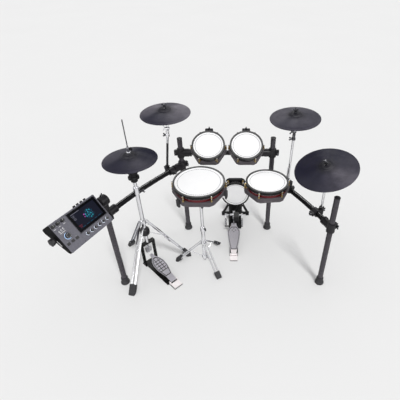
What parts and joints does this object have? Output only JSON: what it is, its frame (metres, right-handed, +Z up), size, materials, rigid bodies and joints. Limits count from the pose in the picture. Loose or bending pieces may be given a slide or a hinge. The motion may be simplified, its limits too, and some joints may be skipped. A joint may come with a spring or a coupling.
{
  "type": "electronic drum kit",
  "caption": "Electronic drum kit: tube rack carrying mesh pads, rubber cymbal pads and a sound module, with free-standing snare stand, hi-hat stand and kick pad with pedal.",
  "frame": {"origin": "floor level, at the middle of the kit's plan outline", "axes": "+Z up, +Y away from the drummer towards the rear posts, +X to the drummer's right"},
  "size_m": [1.8476, 1.2278, 1.211],
  "materials": {
    "black_tube": "satin black powder coat",
    "clamp_black": "fine textured moulding",
    "chrome": "polished chrome plate",
    "cymbal_rubber": "matte with fine turned grooves",
    "mesh_head": "fine white woven mesh",
    "hoop_rubber": "satin moulded rubber",
    "shell_gloss": "dark red to black gloss over a grey-black tray",
    "brass": "antique brass plate",
    "pedal_alloy": "brushed with dark outline",
    "black_steel": "semi-gloss black",
    "steel": "plated",
    "foot_rubber": "matte",
    "black_plastic": "fine grain",
    "panel_metal": "dark grey metallic",
    "screen": "black glass-like cover",
    "knob_plastic": "fluted soft-touch"
  },
  "bodies": {
    "root": {"cymbal_arms": "chrome", "drum_lugs": "brass", "hihat_controller": "black_plastic", "hihat_pedal_frame": "black_steel", "hihat_stand": "chrome", "kick_chain_and_springs": "steel", "kick_head": "mesh_head", "kick_hoop": "hoop_rubber", "kick_pedal_frame": "black_steel", "kick_shell": "shell_gloss", "kick_tower": "black_steel", "pedal_heel_plates": "pedal_alloy", "rack_clamps": "clamp_black", "rack_feet_and_caps": "foot_rubber", "rack_posts": "black_tube", "rack_rails": "black_tube", "snare_head": "mesh_head", "snare_hoop": "hoop_rubber", "snare_shell": "shell_gloss", "snare_stand": "chrome", "stand_rubbers": "foot_rubber", "trigger_sensors": "black_plastic", "wing_bolts": "clamp_black"},
    "kick_footboard": {"kick_footboard": "pedal_alloy"},
    "kick_beater": {"kick_beater": "steel"},
    "hihat_footboard": {"hihat_footboard": "pedal_alloy"},
    "hihat_rod": {"hihat_pull_rod": "chrome", "hihat_cymbal": "cymbal_rubber"},
    "crash_left_tilter": {"crash_left_tilter": "chrome"},
    "crash_left_cymbal": {"crash_left_cymbal": "cymbal_rubber"},
    "crash_right_tilter": {"crash_right_tilter": "chrome"},
    "crash_right_cymbal": {"crash_right_cymbal": "cymbal_rubber"},
    "ride_tilter": {"ride_tilter": "chrome"},
    "ride_cymbal": {"ride_cymbal": "cymbal_rubber"},
    "tom_bar": {"tom_bar": "black_tube", "tom_shells": "shell_gloss", "tom_heads": "mesh_head", "tom_hoops": "hoop_rubber", "tom_lugs": "brass", "tom_hardware": "clamp_black"},
    "floor_tom": {"floor_tom_shell": "shell_gloss", "floor_tom_head": "mesh_head", "floor_tom_hoop": "hoop_rubber", "floor_tom_lugs": "brass", "floor_tom_mount": "clamp_black"},
    "module": {"module_housing": "black_plastic", "module_panel": "panel_metal", "module_screen": "screen", "module_jacks": "black_plastic"},
    "module_encoder": {"module_encoder": "knob_plastic"},
    "module_keys": {"module_keys": "foot_rubber"},
    "dial_1": {"dial_1": "knob_plastic"},
    "dial_2": {"dial_2": "knob_plastic"},
    "dial_3": {"dial_3": "knob_plastic"},
    "dial_4": {"dial_4": "knob_plastic"},
    "dial_5": {"dial_5": "knob_plastic"},
    "dial_6": {"dial_6": "knob_plastic"},
    "volume_knob_1": {"volume_knob_1": "knob_plastic"},
    "volume_knob_2": {"volume_knob_2": "knob_plastic"},
    "volume_knob_3": {"volume_knob_3": "knob_plastic"}
  },
  "joints": [
    {"name": "kick_footboard_press", "type": "hinge", "parent": "root", "child": "kick_footboard", "pos_m": [0.12327, 0.03994, 0.02], "axis": [1, 0, 0], "range_deg": [-11.3, 0], "stiffness_Nm_per_rad": 3, "springref_deg": 22.92, "deforming": ["kick_chain_and_springs"]},
    {"name": "kick_beater_swing", "type": "hinge", "parent": "root", "child": "kick_beater", "pos_m": [0.12327, 0.35194, 0.185], "axis": [1, 0, 0], "range_deg": [-84.75, 0]},
    {"name": "hihat_footboard_press", "type": "hinge", "parent": "root", "child": "hihat_footboard", "pos_m": [-0.3276, -0.23019, 0.021], "axis": [0.7071, 0.7071, 0], "range_deg": [-5, 0], "stiffness_Nm_per_rad": 16, "springref_deg": 24.06},
    {"name": "hihat_rod_slide", "type": "slide", "parent": "root", "child": "hihat_rod", "axis": [0, 0, 1], "range_m": [-0.024, 0]},
    {"name": "crash_left_tilt", "type": "hinge", "parent": "root", "child": "crash_left_tilter", "pos_m": [-0.35059, 0.34609, 0.98817], "axis": [1, 0, 0], "range_deg": [-25, 25]},
    {"name": "crash_left_swing", "type": "hinge", "parent": "crash_left_tilter", "child": "crash_left_cymbal", "pos_m": [-0.35213, 0.33779, 1.14194], "axis": [1, -0.0005, 0.01], "range_deg": [-10, 10], "stiffness_Nm_per_rad": 2},
    {"name": "crash_right_tilt", "type": "hinge", "parent": "root", "child": "crash_right_tilter", "pos_m": [0.55417, 0.30237, 0.98037], "axis": [1, 0, 0], "range_deg": [-25, 25]},
    {"name": "crash_right_swing", "type": "hinge", "parent": "crash_right_tilter", "child": "crash_right_cymbal", "pos_m": [0.546, 0.29347, 1.12386], "axis": [0.9984, -0.0035, 0.0567], "range_deg": [-10, 10], "stiffness_Nm_per_rad": 2},
    {"name": "ride_tilt", "type": "hinge", "parent": "root", "child": "ride_tilter", "pos_m": [0.74135, -0.02737, 0.80828], "axis": [0.5744, -0.8186, 0], "range_deg": [-12, 12]},
    {"name": "ride_swing", "type": "hinge", "parent": "ride_tilter", "child": "ride_cymbal", "pos_m": [0.71375, -0.04673, 0.91927], "axis": [0.9713, -0.0409, 0.2344], "range_deg": [-8, 8], "stiffness_Nm_per_rad": 2},
    {"name": "tom_bar_tilt", "type": "hinge", "parent": "root", "child": "tom_bar", "pos_m": [0.13327, 0.39694, 0.762], "axis": [1, 0, 0], "range_deg": [-15, 11]},
    {"name": "floor_tom_tilt", "type": "hinge", "parent": "root", "child": "floor_tom", "pos_m": [0.36687, 0.14194, 0.606], "axis": [0.9143, 0.405, 0], "range_deg": [-15, 15]},
    {"name": "module_tilt", "type": "hinge", "parent": "root", "child": "module", "pos_m": [-0.69173, -0.22606, 0.762], "axis": [0.4462, 0.8949, 0], "range_deg": [-15, 15]},
    {"name": "encoder_turn", "type": "hinge", "parent": "module", "child": "module_encoder", "pos_m": [-0.77956, -0.55021, 0.76877], "axis": [0.6975, -0.3477, 0.6266], "continuous": true},
    {"name": "dial_1_turn", "type": "hinge", "parent": "module", "child": "dial_1", "pos_m": [-0.70521, -0.48113, 0.72434], "axis": [0.6975, -0.3477, 0.6266], "continuous": true},
    {"name": "dial_2_turn", "type": "hinge", "parent": "module", "child": "dial_2", "pos_m": [-0.6916, -0.45383, 0.72434], "axis": [0.6975, -0.3477, 0.6266], "continuous": true},
    {"name": "dial_3_turn", "type": "hinge", "parent": "module", "child": "dial_3", "pos_m": [-0.67799, -0.42654, 0.72434], "axis": [0.6975, -0.3477, 0.6266], "continuous": true},
    {"name": "dial_4_turn", "type": "hinge", "parent": "module", "child": "dial_4", "pos_m": [-0.66438, -0.39924, 0.72434], "axis": [0.6975, -0.3477, 0.6266], "continuous": true},
    {"name": "dial_5_turn", "type": "hinge", "parent": "module", "child": "dial_5", "pos_m": [-0.65077, -0.37195, 0.72434], "axis": [0.6975, -0.3477, 0.6266], "continuous": true},
    {"name": "dial_6_turn", "type": "hinge", "parent": "module", "child": "dial_6", "pos_m": [-0.63716, -0.34465, 0.72434], "axis": [0.6975, -0.3477, 0.6266], "continuous": true},
    {"name": "volume_knob_1_turn", "type": "hinge", "parent": "module", "child": "volume_knob_1", "pos_m": [-0.8415, -0.55508, 0.83501], "axis": [0.6975, -0.3477, 0.6266], "range_deg": [-150, 150]},
    {"name": "volume_knob_2_turn", "type": "hinge", "parent": "module", "child": "volume_knob_2", "pos_m": [-0.82767, -0.52734, 0.83501], "axis": [0.6975, -0.3477, 0.6266], "range_deg": [-150, 150]},
    {"name": "volume_knob_3_turn", "type": "hinge", "parent": "module", "child": "volume_knob_3", "pos_m": [-0.81384, -0.4996, 0.83501], "axis": [0.6975, -0.3477, 0.6266], "range_deg": [-150, 150]},
    {"name": "keys_press", "type": "slide", "parent": "module", "child": "module_keys", "axis": [-0.6975, 0.3477, -0.6266], "range_m": [0, 0.0012], "stiffness_N_per_m": 900, "springref_m": -0.0006}
  ],
  "couplings": [
    {"joint": "kick_beater_swing", "follows": "kick_footboard_press", "ratio": 7.5},
    {"joint": "hihat_rod_slide", "follows": "hihat_footboard_press", "m_per_rad": 0.27}
  ]
}
